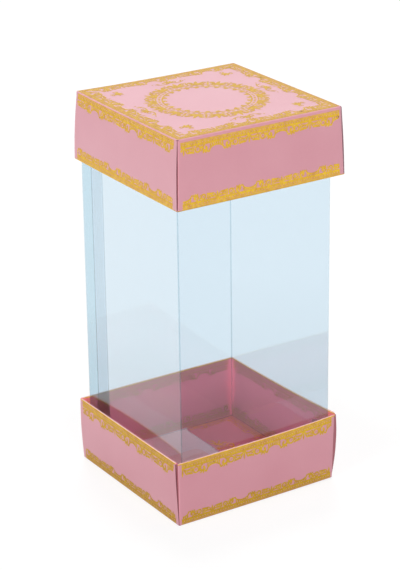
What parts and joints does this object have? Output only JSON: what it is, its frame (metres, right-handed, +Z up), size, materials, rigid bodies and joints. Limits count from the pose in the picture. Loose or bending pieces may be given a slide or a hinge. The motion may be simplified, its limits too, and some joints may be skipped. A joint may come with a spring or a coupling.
{
  "type": "clear gift box",
  "caption": "Tall square see-through gift box: a clear sleeve stands in a low board tray under a matching lift-off board lid.",
  "frame": {"origin": "centre of the tray's underside, where the box stands", "axes": "+Z up along the box, -Y towards the wide front wall, +X to the right as that wall is faced"},
  "size_m": [0.1041, 0.1035, 0.2132],
  "materials": {
    "printed_board": "satin printed pink board with gold foil lace along its edges",
    "plain_board": "matt unprinted board",
    "clear_sheet": "clear glossy sheet with a pale blue cast",
    "clear_adhesive": "thin clear adhesive"
  },
  "bodies": {
    "tray": {"tray_board": "printed_board", "tray_inner_wall_front": "printed_board", "tray_inner_wall_right": "printed_board", "tray_inner_wall_rear": "printed_board", "tray_inner_wall_left": "printed_board", "tray_tab_front_left": "plain_board", "tray_tab_front_right": "plain_board", "tray_tab_rear_left": "plain_board", "tray_tab_rear_right": "plain_board", "tray_wide_leaf": "printed_board", "tray_tongue": "printed_board"},
    "sleeve": {"sleeve_sheet": "clear_sheet", "sleeve_glue": "clear_adhesive"},
    "lid": {"lid_board": "printed_board", "lid_inner_wall_front": "printed_board", "lid_inner_wall_right": "printed_board", "lid_inner_wall_rear": "printed_board", "lid_inner_wall_left": "printed_board", "lid_tab_front_left": "plain_board", "lid_tab_front_right": "plain_board", "lid_tab_rear_left": "plain_board", "lid_tab_rear_right": "plain_board", "lid_wide_leaf": "printed_board", "lid_tongue": "printed_board"}
  },
  "joints": [
    {"name": "sleeve_lift", "type": "slide", "parent": "tray", "child": "sleeve", "axis": [0, 0, 1], "range_m": [0, 0.06]},
    {"name": "lid_lift", "type": "slide", "parent": "sleeve", "child": "lid", "axis": [0, 0, 1], "range_m": [0, 0.15]}
  ]
}
